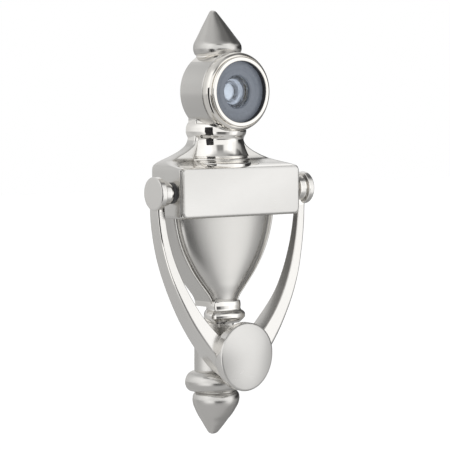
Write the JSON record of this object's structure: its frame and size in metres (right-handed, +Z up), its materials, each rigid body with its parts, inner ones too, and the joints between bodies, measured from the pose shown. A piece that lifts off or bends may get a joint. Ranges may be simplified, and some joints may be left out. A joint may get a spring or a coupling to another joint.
{
  "type": "door knocker with viewer",
  "caption": "Urn-shaped door knocker with a hinged U-shaped bail, an oval domed knob, a blank name plate and a wide-angle door viewer built into a round housing at the top.",
  "frame": {"origin": "viewer axis where it meets the door face, at the root of the spigot", "axes": "+Z up along the casting, +X to the right seen from outside, the front faces -Y and +Y runs into the door"},
  "size_m": [0.0726, 0.0326, 0.1655],
  "materials": {
    "satin_nickel": "satin brushed nickel plate on zinc casting",
    "polished_nickel": "polished nickel plate",
    "bare_steel": "plain zinc-plated steel",
    "plated_brass": "nickel-plated brass, turned",
    "black_rubber": "matt nitrile rubber",
    "dark_dish": "dark grey anodised",
    "black_plastic": "matt moulded",
    "lens_glass": "polished optical glass",
    "dark_nylon": "moulded nylon"
  },
  "bodies": {
    "root": {"body_casting": "satin_nickel", "name_plate": "satin_nickel", "viewer_bezel": "polished_nickel", "strike_anvil": "bare_steel", "plate_push_nuts": "bare_steel", "barrel_washer": "bare_steel", "barrel_nut": "plated_brass", "viewer_barrel": "plated_brass", "bezel_o_ring": "black_rubber", "lens_dish": "dark_dish", "front_spacer": "bare_steel", "rear_spacer": "black_plastic", "lens_retainer": "black_plastic", "objective_lens": "lens_glass", "middle_lens": "lens_glass", "eye_lens": "lens_glass", "pivot_bush_left": "dark_nylon", "pivot_bush_right": "dark_nylon"},
    "knocker": {"knocker_bail": "satin_nickel", "pivot_pin_left": "polished_nickel", "pivot_pin_right": "polished_nickel", "pin_clips": "bare_steel", "knob": "satin_nickel", "striker_screw": "polished_nickel"}
  },
  "joints": [
    {"name": "knocker_swing", "type": "hinge", "parent": "root", "child": "knocker", "pos_m": [0, -0.0123, -0.0379], "axis": [-1, 0, 0], "range_deg": [0, 155]}
  ]
}
